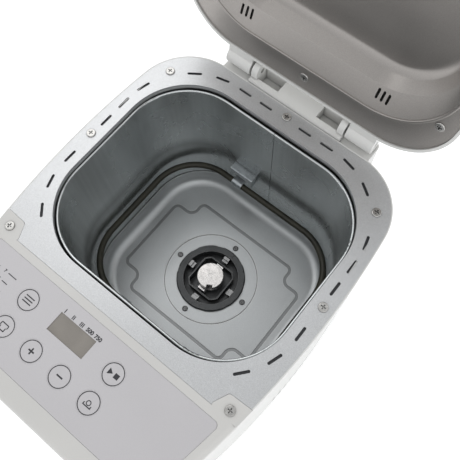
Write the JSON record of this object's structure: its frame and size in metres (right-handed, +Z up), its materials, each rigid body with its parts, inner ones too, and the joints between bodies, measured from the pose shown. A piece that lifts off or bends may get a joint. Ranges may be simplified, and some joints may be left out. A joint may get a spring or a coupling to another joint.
{
  "type": "bread machine",
  "caption": "Countertop bread machine with a hinged lid standing open over a rounded oven with a floor drive, tube heater, vented metal deck and button panel.",
  "frame": {"origin": "centre of the whole object's box at the level of the feet, with the lid open", "axes": "+X to the user's right, +Y to the back where the lid is hinged, +Z up"},
  "size_m": [0.2596, 0.4018, 0.4994],
  "materials": {
    "casing": "white glossy plastic",
    "deck": "satin steel sheet",
    "screw": "bright plated screw",
    "membrane": "lavender-silver printed overlay",
    "lcd": "grey-brown display window",
    "lcd_frame": "black plastic",
    "circuit_board": "phenolic board",
    "switch": "black plastic with steel cover",
    "liner": "aluminised steel sheet",
    "floor_pan": "aluminised steel sheet",
    "heater": "oxidised sheath",
    "ceramic": "unglazed ceramic",
    "bright_steel": "bright steel",
    "shield": "thin sheet",
    "seat": "dark coated casting",
    "zinc": "zinc-plated sheet steel",
    "cast": "die-cast",
    "bronze": "sintered bronze",
    "rubber": "moulded rubber",
    "coupler": "die-cast",
    "pulley": "glass-filled nylon",
    "belt": "black belt",
    "motor": "plated steel case",
    "rotor": "laminated core on a steel shaft",
    "base": "white textured plastic",
    "component": "moulded housings",
    "ribbon": "grey flat cable",
    "lid_liner": "warm grey metal sheet",
    "gland": "pale rubber",
    "button": "soft-touch lavender-grey"
  },
  "bodies": {
    "machine": {"base_pan": "base", "base_screws": "screw", "bearing_housing": "cast", "bezel_tab_screws": "screw", "board_screws": "screw", "casing_front": "casing", "casing_left": "casing", "casing_rear": "casing", "casing_right": "casing", "chassis_plate": "zinc", "control_bezel": "casing", "control_board": "circuit_board", "control_membrane": "membrane", "cord_gland": "gland", "deck_plate": "deck", "deck_screws": "screw", "drive_belt": "belt", "heat_shield": "shield", "heater_bushings": "ceramic", "heater_clips": "bright_steel", "heating_element": "heater", "hinge_housing": "casing", "hinge_pins": "bright_steel", "lcd_holder": "lcd_frame", "lcd_panel": "lcd", "motor_case": "motor", "motor_mounts": "rubber", "oven_floor_pan": "floor_pan", "oven_liner": "liner", "pan_seat": "seat", "power_board": "circuit_board", "power_components": "component", "ribbon_cable": "ribbon", "rubber_feet": "rubber", "seat_clips": "bright_steel", "seat_screws": "bright_steel", "sensor_bracket": "zinc", "shaft_bushes": "bronze", "shaft_seal": "rubber", "support_posts": "zinc", "tact_switches": "switch", "temperature_sensor": "bright_steel", "thermal_fuse": "bright_steel"},
    "lid": {"lid_shell": "casing", "lid_liner": "lid_liner", "lid_screws": "screw"},
    "drive": {"drive_shaft": "bright_steel", "drive_coupler": "coupler", "driven_pulley": "pulley", "shaft_clip": "bright_steel"},
    "motor": {"motor_rotor": "rotor", "motor_pulley": "pulley"},
    "button_menu": {"button_menu": "button"},
    "button_colour": {"button_colour": "button"},
    "button_plus": {"button_plus": "button"},
    "button_minus": {"button_minus": "button"},
    "button_start": {"button_start": "button"},
    "button_weight": {"button_weight": "button"}
  },
  "joints": [
    {"name": "lid_hinge", "type": "hinge", "parent": "machine", "child": "lid", "pos_m": [0, 0.13336, 0.25125], "axis": [1, 0, 0], "range_deg": [0, 97]},
    {"name": "drive_spin", "type": "hinge", "parent": "machine", "child": "drive", "pos_m": [0, -0.00194, 0.068], "axis": [0, 0, 1], "continuous": true},
    {"name": "motor_spin", "type": "hinge", "parent": "machine", "child": "motor", "pos_m": [0, -0.14694, 0.074], "axis": [0, 0, 1], "continuous": true},
    {"name": "button_menu_press", "type": "slide", "parent": "machine", "child": "button_menu", "axis": [0, 0, -1], "range_m": [0, 0.0008], "stiffness_N_per_m": 400, "springref_m": -0.0004},
    {"name": "button_colour_press", "type": "slide", "parent": "machine", "child": "button_colour", "axis": [0, 0, -1], "range_m": [0, 0.0008], "stiffness_N_per_m": 400, "springref_m": -0.0004},
    {"name": "button_plus_press", "type": "slide", "parent": "machine", "child": "button_plus", "axis": [0, 0, -1], "range_m": [0, 0.0008], "stiffness_N_per_m": 400, "springref_m": -0.0004},
    {"name": "button_minus_press", "type": "slide", "parent": "machine", "child": "button_minus", "axis": [0, 0, -1], "range_m": [0, 0.0008], "stiffness_N_per_m": 400, "springref_m": -0.0004},
    {"name": "button_start_press", "type": "slide", "parent": "machine", "child": "button_start", "axis": [0, 0, -1], "range_m": [0, 0.0008], "stiffness_N_per_m": 400, "springref_m": -0.0004},
    {"name": "button_weight_press", "type": "slide", "parent": "machine", "child": "button_weight", "axis": [0, 0, -1], "range_m": [0, 0.0008], "stiffness_N_per_m": 400, "springref_m": -0.0004}
  ],
  "couplings": [
    {"joint": "motor_spin", "follows": "drive_spin", "ratio": 4.5165}
  ]
}
